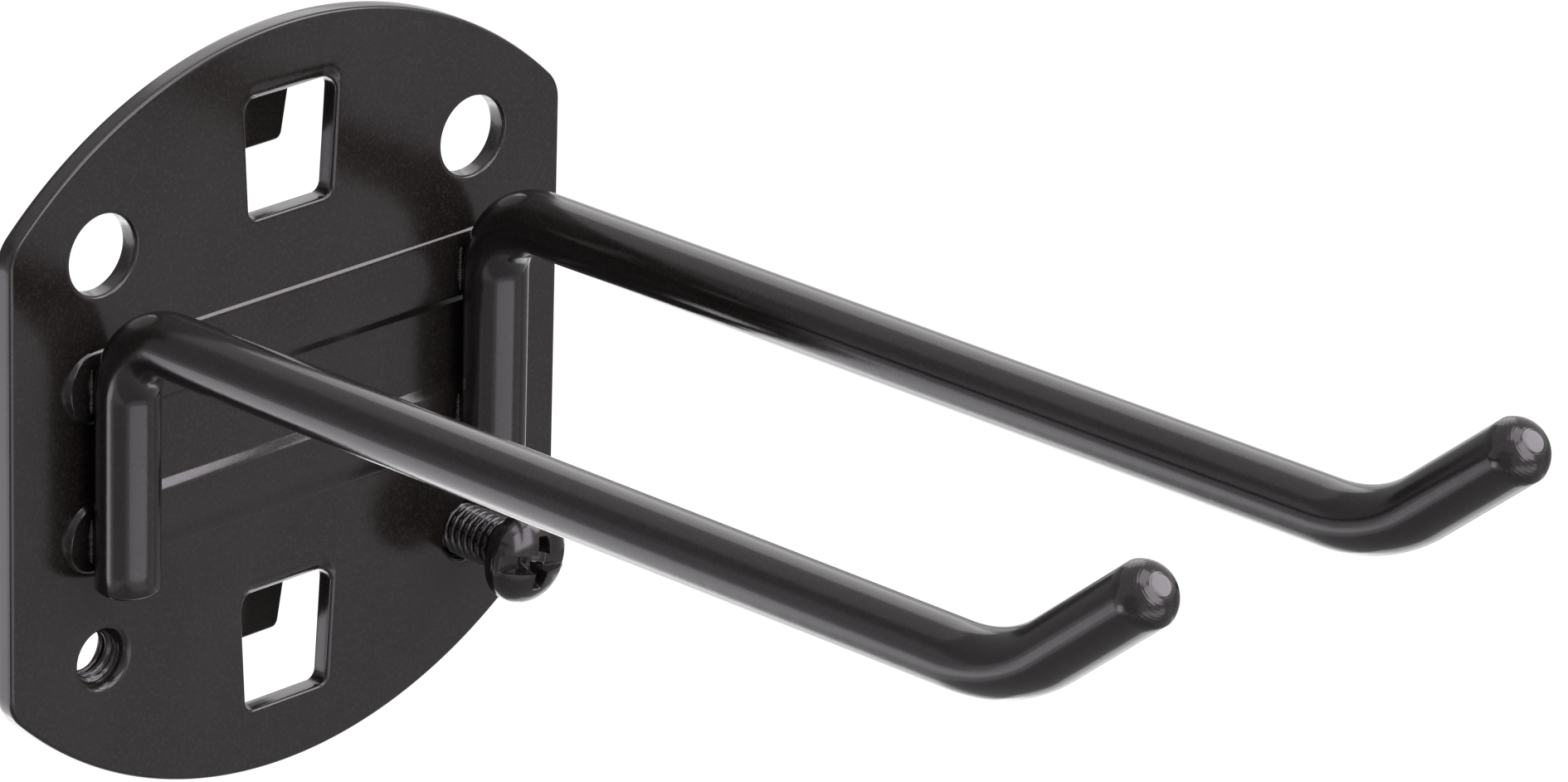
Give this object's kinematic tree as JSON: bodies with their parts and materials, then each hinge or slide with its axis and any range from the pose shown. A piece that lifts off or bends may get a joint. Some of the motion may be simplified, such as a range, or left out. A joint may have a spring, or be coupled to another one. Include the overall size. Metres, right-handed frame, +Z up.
{
  "type": "double-rod panel hook",
  "caption": "Arched steel back plate with rear hanging tabs, a lock screw and a pair of long round rods with upturned tips.",
  "frame": {"origin": "centre of the back plate's rear face, the face towards the panel", "axes": "+X across the plate to the right seen from the front, +Y into the panel, +Z up; the rods reach forward along -Y"},
  "size_m": [0.052, 0.1089, 0.0574],
  "materials": {
    "plate_coat": "semi-gloss black",
    "rod_coat": "gloss black",
    "screw_finish": "black plated, semi-gloss"
  },
  "bodies": {
    "hook": {"back_plate": "plate_coat", "left_rod": "rod_coat", "right_rod": "rod_coat"},
    "lock_screw": {"lock_screw": "screw_finish"}
  },
  "joints": [
    {"name": "lock_screw_travel", "type": "slide", "parent": "hook", "child": "lock_screw", "axis": [0, 1, 0], "range_m": [-0.0007, 0.0056]}
  ]
}
